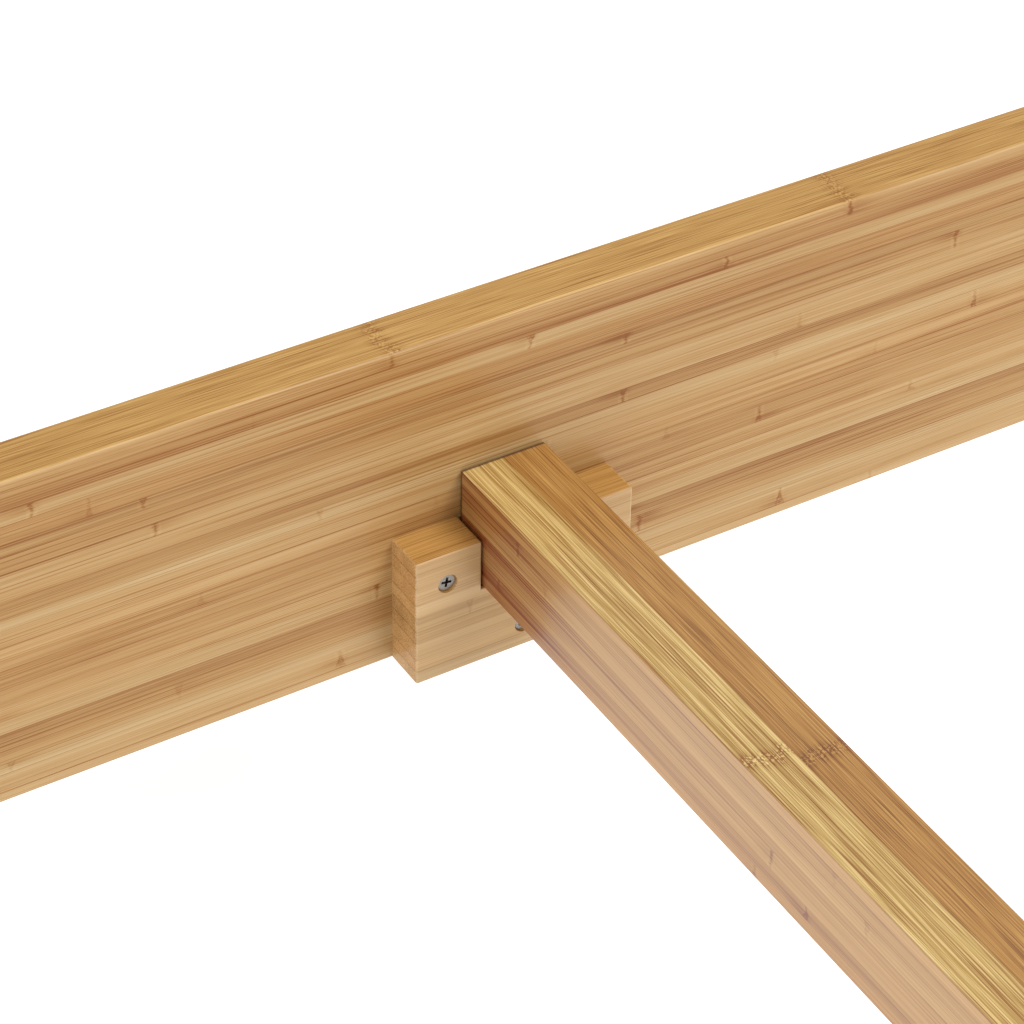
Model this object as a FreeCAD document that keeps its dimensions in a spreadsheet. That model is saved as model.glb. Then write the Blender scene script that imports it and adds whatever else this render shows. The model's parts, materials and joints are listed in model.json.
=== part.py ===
import FreeCAD, Part
import os
import Sketcher

# Knock-down bed frame of laminated bamboo for one mattress, in millimetres.
# X runs across the bed, Y along it and Z up. The origin is on the floor, under the middle of the bed.
# Two end rails and two side rails meet in butt joints around four inner corner legs. A centre beam on
# two legs of its own lies in a notched cradle at each end and lifts straight out.

VECTOR = FreeCAD.Vector
ACROSS = VECTOR(1, 0, 0)
ALONG = VECTOR(0, 1, 0)
UP = VECTOR(0, 0, 1)

# How closely two lengths, or the cosine of two directions, have to agree to count as equal.
NEAR = 0.01
PARALLEL = 0.999

DIMENSIONS = [
    # alias, value in millimetres (or degrees, or a count)
    ("mattress_width", 1400),
    ("mattress_length", 2000),
    ("mattress_gap", 5),
    ("rail_clearance", 150),
    ("rail_thickness", 25),
    ("rail_height", 156),
    ("rail_round", 2),
    ("beam_width", 40),
    ("beam_height", 48),
    ("beam_seat", 39),
    ("beam_round", 1),
    ("beam_end_gap", 1),
    ("beam_end_round", 0.6),
    ("cradle_width", 104),
    ("cradle_depth", 20),
    ("cradle_height", 63.5),
    ("cradle_round", 1.2),
    ("notch_side_gap", 0.8),
    ("notch_floor_gap", 0.3),
    ("cradle_screw_spread", 74),
    ("cradle_screw_high", 48),
    ("cradle_screw_low", 12),
    ("ledge_thickness", 20),
    ("ledge_height", 40),
    ("ledge_end_gap", 1),
    ("ledge_screw_pitch", 300),
    ("leg_side", 60),
    ("leg_round", 3),
    ("bolt_low", 168),
    ("bolt_rise", 40),
    ("bolt_stagger", 14),
    ("bolt_shank", 6),
    ("bolt_length", 70),
    ("bolt_head", 17),
    ("bolt_head_height", 2.5),
    ("bolt_head_edge", 0.8),
    ("bolt_socket", 4),
    ("bolt_socket_depth", 2),
    ("insert_outside", 10),
    ("insert_length", 13),
    ("fit_gap", 0.05),
    ("screw_head", 8),
    ("screw_shank", 4),
    ("screw_length", 38),
    ("screw_tip", 5),
    ("screw_rim", 0.3),
    ("screw_sink", 1.2),
    ("screw_sink_width", 9),
    ("screw_recess_span", 4.8),
    ("screw_recess_slot", 1.2),
    ("screw_recess_depth", 2.1),
    ("dowel_width", 8),
    ("dowel_in_end_rail", 14),
    ("dowel_in_side_rail", 25),
    ("dowel_low", 40),
    ("dowel_rise", 76),
    ("dowel_chamfer", 1),
    ("hole_spare", 1),
    ("glide_width", 30),
    ("glide_height", 5),
    ("glide_round", 1.5),
    ("nail_width", 3),
    ("nail_length", 18),
    ("centre_leg_side", 40),
    ("centre_leg_round", 2),
    ("centre_leg_spacing", 710),
    ("hanger_width", 8),
    ("hanger_in_leg", 30),
    ("hanger_in_beam", 14),
    ("wide_insert_outside", 12),
    ("wide_insert_length", 15),
    ("foot_pad_width", 38),
    ("foot_pad_height", 9),
    ("foot_pad_neck", 18),
    ("foot_pad_rim", 4),
    ("foot_pad_round", 1.5),
    ("foot_socket_floor", 2.7),
    ("foot_gap", 20),
    ("stem_width", 8),
    ("stem_bottom", 3),
    ("stem_top", 63),
    ("stem_chamfer", 1),
    ("stem_room", 60),
    ("collar_across_flats", 13),
    ("collar_height", 6),
    ("collar_gap", 0.3),
]

doc = FreeCAD.newDocument("bed_frame")
sheet = doc.addObject("Spreadsheet::Sheet", "dims")
for row, (alias, number) in enumerate(DIMENSIONS, start=1):
    sheet.set(f"A{row}", alias)
    sheet.set(f"B{row}", str(number))
    sheet.setAlias(f"B{row}", alias)
doc.recompute()

# Places worked out from the driving dimensions, as formulas that the features share.
INNER_X = "(dims.mattress_width / 2 + dims.mattress_gap)"
INNER_Y = "(dims.mattress_length / 2 + dims.mattress_gap)"
OUTER_X = f"({INNER_X} + dims.rail_thickness)"
RAIL_LOW = "dims.rail_clearance"
RAIL_HIGH = "(dims.rail_clearance + dims.rail_height)"
RAIL_MIDDLE_X = f"({INNER_X} + dims.rail_thickness / 2)"
BEAM_LOW = "(dims.rail_clearance + dims.beam_seat)"
BEAM_HIGH = f"({BEAM_LOW} + dims.beam_height)"
BEAM_END = f"({INNER_Y} - dims.beam_end_gap)"
CRADLE_FRONT = f"({INNER_Y} - dims.cradle_depth)"
NOTCH_HALF = "(dims.beam_width / 2 + dims.notch_side_gap)"
LEDGE_FACE = f"({INNER_X} - dims.ledge_thickness)"
LEDGE_END = f"({INNER_Y} - dims.leg_side - dims.ledge_end_gap)"
LEG_X = f"({INNER_X} - dims.leg_side / 2)"
LEG_Y = f"({INNER_Y} - dims.leg_side / 2)"
DOWEL_HEIGHTS = [
    f"({RAIL_LOW} + dims.dowel_low)",
    f"({RAIL_LOW} + dims.dowel_low + dims.dowel_rise)",
]
END_BOLT_HEIGHTS = ["dims.bolt_low", "(dims.bolt_low + dims.bolt_rise)"]
SIDE_BOLT_HEIGHTS = [f"({height} + dims.bolt_stagger)" for height in END_BOLT_HEIGHTS]
CENTRE_LEG_Y = "(dims.centre_leg_spacing / 2)"
CENTRE_LEG_LOW = "(dims.foot_pad_height + dims.foot_gap)"
FIT = "2 * dims.fit_gap"

# Screws: where they go in, and how far each is turned when it is tight.
SCREW_IN_RAIL = "dims.screw_length + dims.screw_sink - dims.cradle_depth + dims.hole_spare"
CRADLE_SCREW_SPOTS = [
    ("-dims.cradle_screw_spread / 2", f"{RAIL_LOW} + dims.cradle_screw_high"),
    ("dims.cradle_screw_spread / 2", f"{RAIL_LOW} + dims.cradle_screw_high"),
    ("0", f"{RAIL_LOW} + dims.cradle_screw_low"),
]
CRADLE_SCREW_TURNS = (-9, 24, 40)
LEDGE_SCREWS = range(-3, 4)
LEDGE_SCREW_TURN = 37
LEDGE_SCREW_HEIGHT = f"({BEAM_HIGH} - dims.ledge_height / 2)"
LEDGE_SCREW_SPOTS = [(f"{number} * dims.ledge_screw_pitch", LEDGE_SCREW_HEIGHT) for number in LEDGE_SCREWS]

CORNERS = {
    "front_left": (-1, -1),
    "front_right": (1, -1),
    "rear_left": (-1, 1),
    "rear_right": (1, 1),
}
ENDS = {"rear": 0, "front": 180}
SIDES = {"right": 0, "left": 180}

nodes = []


# ---- helpers ------------------------------------------------------------------------------------

def value(formula):
    """The number that a formula gives with the sheet as it stands."""
    return float(sheet.evalExpression(formula))


def keep(piece, label):
    """Name a finished sub-part and put it on the list of nodes."""
    piece.Label = label
    nodes.append(piece)
    return piece


def turn(piece, degrees):
    """Turn a piece about the bed's upright middle line."""
    piece.Placement = FreeCAD.Placement(VECTOR(), FreeCAD.Rotation(UP, degrees))


def new_body(name):
    return doc.addObject("PartDesign::Body", name)


def new_sketch(body, name, role, offset="0"):
    """A sketch on one of the body's origin planes, moved along the plane's normal by a formula."""
    plane = next(item for item in body.Origin.OriginFeatures if item.Role == role)
    sketch = body.newObject("Sketcher::SketchObject", name)
    sketch.AttachmentSupport = [(plane, "")]
    sketch.MapMode = "FlatFace"
    sketch.setExpression("AttachmentOffset.Base.z", offset)
    return sketch


def pin_point(sketch, geometry, point, spot):
    """Tie one point of a sketch to a pair of formulas; the formula "0" ties it to that axis."""
    axes = (("DistanceX", -2), ("DistanceY", -1))
    for formula, (kind, axis) in zip(spot, axes):
        if formula == "0":
            sketch.addConstraint(Sketcher.Constraint("PointOnObject", geometry, point, axis))
        else:
            distance = Sketcher.Constraint(kind, -1, 1, geometry, point, value(formula))
            index = sketch.addConstraint(distance)
            sketch.setExpression(f"Constraints[{index}]", formula)


def outline(sketch, corners):
    """A closed run of straight edges through corners, each a pair of formulas."""
    points = [VECTOR(*(value(formula) for formula in corner), 0) for corner in corners]
    for start, end in zip(points, points[1:] + points[:1]):
        sketch.addGeometry(Part.LineSegment(start, end), False)
    for index, corner in enumerate(corners):
        following = (index + 1) % len(corners)
        sketch.addConstraint(Sketcher.Constraint("Coincident", index, 2, following, 1))
        pin_point(sketch, index, 1, corner)


def rectangle(sketch, low, high):
    """A rectangle between two corners, each a pair of formulas."""
    outline(sketch, [low, (high[0], low[1]), high, (low[0], high[1])])


def circles(sketch, spots, diameter):
    """Equal circles at a list of spots, each a pair of formulas."""
    for spot in spots:
        centre = VECTOR(*(value(formula) for formula in spot), 0)
        index = sketch.addGeometry(Part.Circle(centre, UP, value(diameter) / 2), False)
        pin_point(sketch, index, 3, spot)
        size = sketch.addConstraint(Sketcher.Constraint("Diameter", index, value(diameter)))
        sketch.setExpression(f"Constraints[{size}]", diameter)


def pad(body, sketch, length, reverse=False, symmetric=False):
    """Raise a sketch into a solid."""
    feature = body.newObject("PartDesign::Pad", f"{sketch.Name}_pad")
    feature.Profile = sketch
    feature.setExpression("Length", length)
    feature.Reversed = reverse
    if symmetric:
        feature.SideType = "Symmetric"
    doc.recompute()
    return feature


def pocket(body, sketch, depth, reverse=False):
    """Cut a sketch into the body, against the plane's normal unless reversed."""
    before = body.Shape.Volume
    feature = body.newObject("PartDesign::Pocket", f"{sketch.Name}_cut")
    feature.Profile = sketch
    feature.setExpression("Length", depth)
    feature.Reversed = reverse
    doc.recompute()
    if body.Shape.Volume >= before:
        raise RuntimeError(f"{feature.Name} cuts nothing")
    return feature


def drill(body, name, role, offset, spots, diameter, depth, reverse=False):
    """Round holes from one of the body's planes."""
    sketch = new_sketch(body, name, role, offset)
    circles(sketch, spots, diameter)
    return pocket(body, sketch, depth, reverse)


def revolve(body, name, corners):
    """A turned solid: corners are radius and height, about the body's Z axis."""
    sketch = new_sketch(body, name, "XZ_Plane")
    outline(sketch, corners)
    feature = body.newObject("PartDesign::Revolution", f"{name}_turned")
    feature.Profile = sketch
    feature.ReferenceAxis = (sketch, ["V_Axis"])
    feature.Angle = 360
    doc.recompute()
    return feature


def dress(body, style, base, size, chosen):
    """Fillet or Chamfer the chosen edges of a feature."""
    names = [f"Edge{i}" for i, edge in enumerate(base.Shape.Edges, start=1) if chosen(edge)]
    feature = body.newObject(f"PartDesign::{style}", f"{base.Name}_{style.lower()}")
    feature.Base = (base, names)
    feature.setExpression("Size" if style == "Chamfer" else "Radius", size)
    doc.recompute()
    return feature


def kind(edge):
    """The type of an edge's curve; a few edges between fillets have none."""
    try:
        return edge.Curve.TypeId
    except TypeError:
        return ""


def runs(edge, direction):
    """Whether an edge is straight and runs along a direction."""
    if kind(edge) != "Part::GeomLine":
        return False
    return abs(edge.tangentAt(edge.FirstParameter).dot(direction)) > PARALLEL


def is_ring(edge, radius, direction, level):
    """Whether an edge is a circle of a given radius whose centre is at a level along a direction."""
    if kind(edge) != "Part::GeomCircle":
        return False
    circle = edge.Curve
    return abs(circle.Radius - radius) < NEAR and abs(circle.Center.dot(direction) - level) < NEAR


def link(master, position, rotation=FreeCAD.Rotation()):
    """One more copy of a master piece, at a position given as three formulas."""
    copy = doc.addObject("App::Link", f"{master.Name}_copy")
    copy.LinkedObject = master
    copy.Placement = FreeCAD.Placement(VECTOR(*map(value, position)), rotation)
    for axis, formula in zip("xyz", position):
        copy.setExpression(f"Placement.Base.{axis}", formula)
    return copy


def facing(outward, spin=0):
    """The rotation that points a fastener's head in a direction, after a spin about its own axis."""
    return FreeCAD.Rotation(UP, outward) * FreeCAD.Rotation(UP, spin)


def group(label, copies, degrees=0):
    """Equal fasteners that share one node."""
    compound = doc.addObject("Part::Compound", label)
    compound.Links = copies
    turn(compound, degrees)
    return keep(compound, label)


# ---- master fasteners, head or mouth at the origin and body along -Z --------------------------------

def make_wood_screw():
    """Countersunk wood screw; its thread is left as the plain outside diameter."""
    body = new_body("wood_screw")
    head = "dims.screw_head / 2"
    shank = "dims.screw_shank / 2"
    cone = "-(dims.screw_head - dims.screw_shank) / 2"
    rim = "-dims.screw_rim"
    tip = "-dims.screw_length"
    profile = [
        ("0", "0"),
        (f"{head} - dims.screw_rim / 2", "0"),
        (head, f"{rim} / 2"),
        (head, f"{rim} + dims.fit_gap"),
        (shank, f"{cone} - dims.screw_rim + dims.fit_gap"),
        (shank, f"{tip} + dims.screw_tip"),
        ("0", tip),
    ]
    revolve(body, "wood_screw_profile", profile)
    arm = "dims.screw_recess_span / 2"
    slot = "dims.screw_recess_slot / 2"
    cross = [
        (arm, slot), (slot, slot), (slot, arm),
        (f"-{slot}", arm), (f"-{slot}", slot), (f"-{arm}", slot),
        (f"-{arm}", f"-{slot}"), (f"-{slot}", f"-{slot}"), (f"-{slot}", f"-{arm}"),
        (slot, f"-{arm}"), (slot, f"-{slot}"), (arm, f"-{slot}"),
    ]
    sketch = new_sketch(body, "wood_screw_cross", "XY_Plane")
    outline(sketch, cross)
    pocket(body, sketch, "dims.screw_recess_depth")
    return body


def make_connector_bolt():
    """Flat-headed connector bolt with a hexagon socket; the head's underside is at the origin."""
    body = new_body("connector_bolt")
    head = "dims.bolt_head / 2"
    shank = "dims.bolt_shank / 2"
    profile = [
        ("0", "dims.bolt_head_height"),
        (f"{head} - dims.bolt_head_edge", "dims.bolt_head_height"),
        (head, "dims.bolt_head_height - dims.bolt_head_edge"),
        (head, "0"),
        (shank, "0"),
        (shank, "-dims.bolt_length + dims.bolt_head_edge"),
        (f"{shank} - dims.bolt_head_edge", "-dims.bolt_length"),
        ("0", "-dims.bolt_length"),
    ]
    revolve(body, "connector_bolt_profile", profile)
    point = "dims.bolt_socket / sqrt(3)"
    flat = "dims.bolt_socket / 2"
    hexagon = [
        (point, "0"), (f"{point} / 2", flat), (f"-{point} / 2", flat),
        (f"-{point}", "0"), (f"-{point} / 2", f"-{flat}"), (f"{point} / 2", f"-{flat}"),
    ]
    sketch = new_sketch(body, "connector_bolt_socket", "XY_Plane", "dims.bolt_head_height")
    outline(sketch, hexagon)
    pocket(body, sketch, "dims.bolt_socket_depth")
    return body


def make_insert(name, outside, bore, length):
    """Threaded insert nut, its mouth at the origin."""
    body = new_body(name)
    sketch = new_sketch(body, f"{name}_ring", "XY_Plane")
    circles(sketch, [("0", "0")], outside)
    circles(sketch, [("0", "0")], bore)
    pad(body, sketch, length, reverse=True)
    return body


def make_pin(name, width, length, chamfer):
    """Plain round pin with chamfered ends, one end at the origin."""
    body = new_body(name)
    radius = f"{width} / 2"
    profile = [
        ("0", "0"),
        (f"{radius} - {chamfer}", "0"),
        (radius, f"-{chamfer}"),
        (radius, f"-{length} + {chamfer}"),
        (f"{radius} - {chamfer}", f"-{length}"),
        ("0", f"-{length}"),
    ]
    revolve(body, f"{name}_profile", profile)
    return body


# ---- rails --------------------------------------------------------------------------------------

def make_end_rail(label, degrees):
    """Rail across the bed; it covers the ends of the side rails."""
    body = new_body(label)
    sketch = new_sketch(body, f"{label}_face", "XZ_Plane", f"-{INNER_Y}")
    rectangle(sketch, (f"-{OUTER_X}", RAIL_LOW), (OUTER_X, RAIL_HIGH))
    board = pad(body, sketch, "dims.rail_thickness", reverse=True)
    dress(body, "Fillet", board, "dims.rail_round", lambda edge: True)
    dowels = [(f"{sign}{RAIL_MIDDLE_X}", height) for sign in ("-", "") for height in DOWEL_HEIGHTS]
    drill(body, f"{label}_dowel_holes", "XZ_Plane", f"-{INNER_Y}", dowels,
          f"dims.dowel_width + {FIT}", "dims.dowel_in_end_rail + dims.hole_spare")
    inserts = [(f"{sign}{LEG_X}", height) for sign in ("-", "") for height in END_BOLT_HEIGHTS]
    drill(body, f"{label}_insert_holes", "XZ_Plane", f"-{INNER_Y}", inserts,
          f"dims.insert_outside + {FIT}", "dims.insert_length + dims.hole_spare")
    drill(body, f"{label}_screw_holes", "XZ_Plane", f"-{INNER_Y}", CRADLE_SCREW_SPOTS,
          f"dims.screw_shank + {FIT}", SCREW_IN_RAIL)
    turn(body, degrees)
    return keep(body, label)


def make_side_rail(label, degrees):
    """Rail along the bed, between the end rails."""
    body = new_body(label)
    sketch = new_sketch(body, f"{label}_face", "YZ_Plane", INNER_X)
    rectangle(sketch, (f"-{INNER_Y}", RAIL_LOW), (INNER_Y, RAIL_HIGH))
    board = pad(body, sketch, "dims.rail_thickness")
    dress(body, "Fillet", board, "dims.rail_round", lambda edge: runs(edge, ALONG))
    dowels = [(RAIL_MIDDLE_X, height) for height in DOWEL_HEIGHTS]
    depth = "dims.dowel_in_side_rail + dims.hole_spare"
    width = f"dims.dowel_width + {FIT}"
    drill(body, f"{label}_rear_dowel_holes", "XZ_Plane", f"-{INNER_Y}", dowels, width, depth, reverse=True)
    drill(body, f"{label}_front_dowel_holes", "XZ_Plane", INNER_Y, dowels, width, depth)
    inserts = [(f"{sign}{LEG_Y}", height) for sign in ("-", "") for height in SIDE_BOLT_HEIGHTS]
    drill(body, f"{label}_insert_holes", "YZ_Plane", INNER_X, inserts,
          f"dims.insert_outside + {FIT}", "dims.insert_length + dims.hole_spare", reverse=True)
    drill(body, f"{label}_screw_holes", "YZ_Plane", INNER_X, LEDGE_SCREW_SPOTS,
          f"dims.screw_shank + {FIT}", SCREW_IN_RAIL, reverse=True)
    turn(body, degrees)
    return keep(body, label)


# ---- cradles and ledges -----------------------------------------------------------------------------

def make_cradle(label, degrees):
    """Notched block on the end rail that the beam drops into."""
    body = new_body(label)
    half = "dims.cradle_width / 2"
    top = f"({RAIL_LOW} + dims.cradle_height)"
    floor = f"({BEAM_LOW} - dims.notch_floor_gap)"
    sketch = new_sketch(body, f"{label}_face", "XZ_Plane", f"-{CRADLE_FRONT}")
    outline(sketch, [
        (f"-{half}", RAIL_LOW), (half, RAIL_LOW), (half, top), (NOTCH_HALF, top),
        (NOTCH_HALF, floor), (f"-{NOTCH_HALF}", floor), (f"-{NOTCH_HALF}", top), (f"-{half}", top),
    ])
    block = pad(body, sketch, "dims.cradle_depth", reverse=True)
    back = value(INNER_Y)
    notch_floor = value(floor)

    def outer(edge):
        middle = edge.CenterOfMass
        in_notch_corner = runs(edge, ALONG) and abs(middle.z - notch_floor) < NEAR
        return middle.y < back - NEAR and not in_notch_corner

    dress(body, "Fillet", block, "dims.cradle_round", outer)
    screw_seats(body, "XZ_Plane", f"-{CRADLE_FRONT}", CRADLE_SCREW_SPOTS, "dims.cradle_depth")
    turn(body, degrees)
    return keep(body, label)


def make_ledge(label, degrees):
    """Batten on the side rail, its top level with the beam's."""
    body = new_body(label)
    sketch = new_sketch(body, f"{label}_face", "YZ_Plane", LEDGE_FACE)
    rectangle(sketch, (f"-{LEDGE_END}", f"{BEAM_HIGH} - dims.ledge_height"), (LEDGE_END, BEAM_HIGH))
    batten = pad(body, sketch, "dims.ledge_thickness")
    rail = value(INNER_X)
    dress(body, "Fillet", batten, "dims.beam_round",
          lambda edge: runs(edge, ALONG) and edge.CenterOfMass.x < rail - NEAR)
    screw_seats(body, "YZ_Plane", LEDGE_FACE, LEDGE_SCREW_SPOTS, "dims.ledge_thickness", reverse=True)
    turn(body, degrees)
    return keep(body, label)


def screw_seats(body, role, offset, spots, thickness, reverse=False):
    """Sunk, countersunk holes right through a piece, from the face that the screws go in at."""
    name = f"{body.Name}_screw"
    sink = "dims.screw_sink + dims.screw_rim"
    hole = f"dims.screw_shank + {FIT}"
    drill(body, f"{name}_sinks", role, offset, spots, "dims.screw_sink_width", sink, reverse)
    bored = drill(body, f"{name}_holes", role, offset, spots, hole, thickness, reverse)
    direction = ACROSS if role == "YZ_Plane" else ALONG
    floor = abs(value(offset)) + value(sink)
    radius = value(hole) / 2
    dress(body, "Chamfer", bored, "(dims.screw_head - dims.screw_shank) / 2",
          lambda edge: is_ring(edge, radius, direction, floor))


# ---- legs and glides --------------------------------------------------------------------------------

def make_corner_leg(label, side, end):
    """Square leg inside a rail corner, bored for the connector bolts."""
    body = new_body(label)
    half = "dims.leg_side / 2"
    sketch = new_sketch(body, f"{label}_section", "XY_Plane", "dims.glide_height")
    rectangle(sketch, (f"-{half}", f"-{half}"), (half, half))
    post = pad(body, sketch, f"{BEAM_HIGH} - dims.glide_height")
    dress(body, "Fillet", post, "dims.leg_round", lambda edge: runs(edge, UP))
    width = f"dims.bolt_shank + {FIT}"
    end_spots = [("0", height) for height in END_BOLT_HEIGHTS]
    side_spots = [("0", height) for height in SIDE_BOLT_HEIGHTS]
    drill(body, f"{label}_end_holes", "XZ_Plane", half, end_spots, width, "dims.leg_side")
    drill(body, f"{label}_side_holes", "YZ_Plane", f"-{half}", side_spots, width, "dims.leg_side", reverse=True)
    drill(body, f"{label}_nail_hole", "XY_Plane", "dims.glide_height", [("0", "0")],
          f"dims.nail_width + {FIT}", "dims.nail_length", reverse=True)
    body.setExpression("Placement.Base.x", f"{side} * {LEG_X}")
    body.setExpression("Placement.Base.y", f"{end} * {LEG_Y}")
    return keep(body, label)


def make_glide(label, side, end):
    """Round plastic glide under a corner leg, with a hole for its nail."""
    body = new_body(label)
    sketch = new_sketch(body, f"{label}_disc", "XY_Plane")
    circles(sketch, [("0", "0")], "dims.glide_width")
    disc = pad(body, sketch, "dims.glide_height")
    dress(body, "Fillet", disc, "dims.glide_round", lambda edge: edge.CenterOfMass.z < NEAR)
    drill(body, f"{label}_nail_hole", "XY_Plane", "dims.glide_height", [("0", "0")],
          f"dims.nail_width + {FIT}", "dims.glide_height / 2")
    body.setExpression("Placement.Base.x", f"{side} * {LEG_X}")
    body.setExpression("Placement.Base.y", f"{end} * {LEG_Y}")
    return keep(body, label)


# ---- centre beam, its legs and their levelling feet ---------------------------------------------------

def make_centre_beam():
    """Beam under the middle of the mattress, its ends in the cradles."""
    body = new_body("centre_beam")
    half = "dims.beam_width / 2"
    sketch = new_sketch(body, "centre_beam_section", "XZ_Plane")
    rectangle(sketch, (f"-{half}", BEAM_LOW), (half, BEAM_HIGH))
    bar = pad(body, sketch, f"2 * {BEAM_END}", symmetric=True)
    rounded = dress(body, "Fillet", bar, "dims.beam_round", lambda edge: runs(edge, ALONG))
    end = value(BEAM_END)
    dress(body, "Fillet", rounded, "dims.beam_end_round",
          lambda edge: abs(abs(edge.CenterOfMass.y) - end) < NEAR)
    spots = [("0", f"{sign}{CENTRE_LEG_Y}") for sign in ("-", "")]
    drill(body, "centre_beam_insert_holes", "XY_Plane", BEAM_LOW, spots,
          f"dims.wide_insert_outside + {FIT}", "dims.wide_insert_length + dims.hole_spare", reverse=True)
    return keep(body, "centre_beam")


def make_centre_leg(label, end):
    """Square leg hung under the beam, bored for its hanger bolt and its levelling foot."""
    body = new_body(label)
    half = "dims.centre_leg_side / 2"
    sketch = new_sketch(body, f"{label}_section", "XY_Plane", CENTRE_LEG_LOW)
    rectangle(sketch, (f"-{half}", f"-{half}"), (half, half))
    post = pad(body, sketch, f"{BEAM_LOW} - {CENTRE_LEG_LOW}")
    dress(body, "Fillet", post, "dims.centre_leg_round", lambda edge: runs(edge, UP))
    centre = [("0", "0")]
    drill(body, f"{label}_hanger_hole", "XY_Plane", BEAM_LOW, centre,
          f"dims.hanger_width + {FIT}", "dims.hanger_in_leg + dims.hole_spare")
    drill(body, f"{label}_insert_hole", "XY_Plane", CENTRE_LEG_LOW, centre,
          f"dims.wide_insert_outside + {FIT}", "dims.wide_insert_length", reverse=True)
    drill(body, f"{label}_stem_hole", "XY_Plane", CENTRE_LEG_LOW, centre,
          "dims.stem_width + dims.hole_spare", "dims.stem_room", reverse=True)
    body.setExpression("Placement.Base.y", f"{end} * {CENTRE_LEG_Y}")
    return keep(body, label)


def make_foot_stem(label, end):
    """Threaded stem with a hexagon collar; its thread is left as the plain outside diameter."""
    body = new_body(f"{label}_rod")
    radius = "dims.stem_width / 2"
    bevel = "dims.stem_chamfer"
    revolve(body, f"{label}_profile", [
        ("0", "dims.stem_bottom"),
        (f"{radius} - {bevel}", "dims.stem_bottom"),
        (radius, f"dims.stem_bottom + {bevel}"),
        (radius, f"dims.stem_top - {bevel}"),
        (f"{radius} - {bevel}", "dims.stem_top"),
        ("0", "dims.stem_top"),
    ])
    collar = doc.addObject("Part::Prism", f"{label}_collar")
    collar.Polygon = 6
    collar.setExpression("Circumradius", "dims.collar_across_flats / sqrt(3)")
    collar.setExpression("Height", "dims.collar_height")
    collar.setExpression("Placement.Base.z", "dims.foot_pad_height + dims.collar_gap")
    stem = doc.addObject("Part::Fuse", label)
    stem.Base = body
    stem.Tool = collar
    stem.setExpression("Placement.Base.y", f"{end} * {CENTRE_LEG_Y}")
    doc.recompute()
    return keep(stem, label)


def make_foot_pad(label, end):
    """Moulded foot with a socket that the stem turns in."""
    body = new_body(label)
    rim = "dims.foot_pad_width / 2"
    neck = "dims.foot_pad_neck / 2"
    bore = "dims.stem_width / 2 + dims.fit_gap"
    turned = revolve(body, f"{label}_profile", [
        ("0", "0"),
        (rim, "0"),
        (rim, "dims.foot_pad_rim"),
        (neck, "dims.foot_pad_height"),
        (bore, "dims.foot_pad_height"),
        (bore, "dims.foot_socket_floor"),
        ("0", "dims.foot_socket_floor"),
    ])
    edge_radius = value(rim)
    rim_top = value("dims.foot_pad_rim")
    dress(body, "Fillet", turned, "dims.foot_pad_round",
          lambda edge: is_ring(edge, edge_radius, UP, rim_top))
    body.setExpression("Placement.Base.y", f"{end} * {CENTRE_LEG_Y}")
    return keep(body, label)


# ---- fasteners ------------------------------------------------------------------------------------------

def cradle_screws(master, label, degrees):
    """The screws that hold a cradle, their heads sunk below its front."""
    depth = f"{CRADLE_FRONT} + dims.screw_sink"
    copies = [
        link(master, (x, depth, z), facing(-ALONG, spin))
        for (x, z), spin in zip(CRADLE_SCREW_SPOTS, CRADLE_SCREW_TURNS)
    ]
    return group(label, copies, degrees)


def ledge_screws(master, label, degrees):
    """The row of screws that holds a ledge."""
    depth = f"{LEDGE_FACE} + dims.screw_sink"
    copies = [
        link(master, (depth, y, z), facing(-ACROSS, LEDGE_SCREW_TURN * number))
        for number, (y, z) in enumerate(LEDGE_SCREW_SPOTS)
    ]
    return group(label, copies, degrees)


def corner_bolts(master, label, side, end):
    """Four bolts through a corner leg, two into each rail."""
    near_x = f"{side} * ({INNER_X} - dims.leg_side)"
    near_y = f"{end} * ({INNER_Y} - dims.leg_side)"
    into_end = [
        link(master, (f"{side} * {LEG_X}", near_y, height), facing(ALONG * -end))
        for height in END_BOLT_HEIGHTS
    ]
    into_side = [
        link(master, (near_x, f"{end} * {LEG_Y}", height), facing(ACROSS * -side))
        for height in SIDE_BOLT_HEIGHTS
    ]
    return group(label, into_end + into_side)


def corner_inserts(master, label, side, end):
    """The insert nuts in the rails that take a corner's bolts."""
    in_end = [
        link(master, (f"{side} * {LEG_X}", f"{end} * {INNER_Y}", height), facing(ALONG * -end))
        for height in END_BOLT_HEIGHTS
    ]
    in_side = [
        link(master, (f"{side} * {INNER_X}", f"{end} * {LEG_Y}", height), facing(ACROSS * -side))
        for height in SIDE_BOLT_HEIGHTS
    ]
    return group(label, in_end + in_side)


def corner_dowels(master, label, side, end):
    """The dowels across a rail corner."""
    start = f"{end} * ({INNER_Y} + dims.dowel_in_end_rail)"
    copies = [
        link(master, (f"{side} * {RAIL_MIDDLE_X}", start, height), facing(ALONG * end))
        for height in DOWEL_HEIGHTS
    ]
    return group(label, copies)


def glide_nails(master, label):
    """The four nails of the corner glides."""
    start = "dims.glide_height / 2 + dims.nail_length"
    copies = [
        link(master, (f"{side} * {LEG_X}", f"{end} * {LEG_Y}", start))
        for side, end in CORNERS.values()
    ]
    return group(label, copies)


def centre_leg_fasteners(masters, name, end):
    """Hanger bolt, its insert nut in the beam, and the insert nut of the levelling foot."""
    hanger, insert = masters
    y = f"{end} * {CENTRE_LEG_Y}"
    group(f"hanger_bolt_{name}", [link(hanger, ("0", y, f"{BEAM_LOW} + dims.hanger_in_beam"))])
    group(f"beam_insert_{name}", [link(insert, ("0", y, f"{BEAM_LOW} + dims.wide_insert_length"))])
    group(f"foot_insert_{name}", [link(insert, ("0", y, f"{CENTRE_LEG_LOW} + dims.wide_insert_length"))])


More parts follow.
